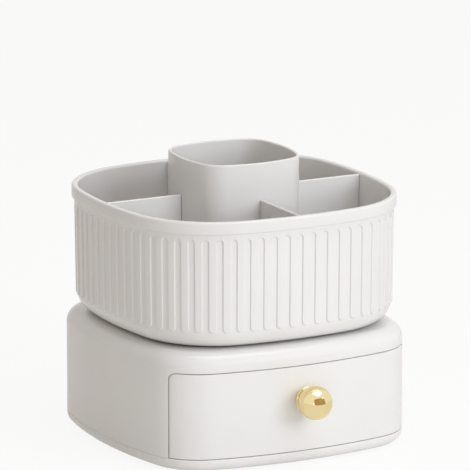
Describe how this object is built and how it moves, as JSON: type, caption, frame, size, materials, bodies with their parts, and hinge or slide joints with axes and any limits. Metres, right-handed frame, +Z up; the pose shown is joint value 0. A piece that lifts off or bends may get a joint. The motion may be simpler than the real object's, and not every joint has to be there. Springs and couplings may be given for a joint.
{
  "type": "rotating make-up organizer with drawer",
  "caption": "Rounded square base with a curved drawer, under a fluted, divided tray with a tall brush cup that turns on a ball bearing.",
  "frame": {"origin": "on the surface that the feet stand on, under the axis that the tray turns about", "axes": "+Z up along the tray's axis; the drawer opens and the knob points towards -Y; +X to the right of someone who faces the knob"},
  "size_m": [0.2112, 0.2394, 0.2038],
  "materials": {
    "white_plastic": "smooth, satin gloss",
    "gold": "polished gold plating",
    "slippery_plastic": "plain moulded",
    "rubber": "soft, matte",
    "steel": "zinc-plated"
  },
  "bodies": {
    "base": {"base_bottom_pan": "white_plastic", "base_housing": "white_plastic", "rubber_feet": "rubber", "case_screws": "steel", "drawer_rail_left": "slippery_plastic", "drawer_rail_right": "slippery_plastic", "rail_screws": "steel", "lower_race": "steel", "lower_race_screws": "steel", "pivot_bolt": "steel", "pivot_washer": "steel", "nut_washer": "steel", "pivot_nut": "steel"},
    "tray": {"tray_shell": "white_plastic", "brush_cup": "white_plastic", "cup_screws": "steel", "upper_race": "steel", "upper_race_screws": "steel", "divider_front": "white_plastic", "divider_back": "white_plastic", "divider_left": "white_plastic", "divider_right": "white_plastic"},
    "ball_cage": {"ball_cage": "slippery_plastic", "bearing_balls": "steel"},
    "drawer": {"drawer_box": "white_plastic", "drawer_front": "white_plastic", "drawer_front_screws": "steel", "drawer_knob": "gold", "knob_collar": "gold", "knob_screw": "steel", "knob_washer": "steel"}
  },
  "joints": [
    {"name": "tray_spin", "type": "hinge", "parent": "base", "child": "tray", "pos_m": [0, 0, 0.0863], "axis": [0, 0, 1], "continuous": true},
    {"name": "cage_spin", "type": "hinge", "parent": "base", "child": "ball_cage", "pos_m": [0, 0, 0.0863], "axis": [0, 0, 1], "continuous": true},
    {"name": "drawer_slide", "type": "slide", "parent": "base", "child": "drawer", "axis": [0, -1, 0], "range_m": [0, 0.13]}
  ],
  "couplings": [
    {"joint": "cage_spin", "follows": "tray_spin", "ratio": 0.5}
  ]
}
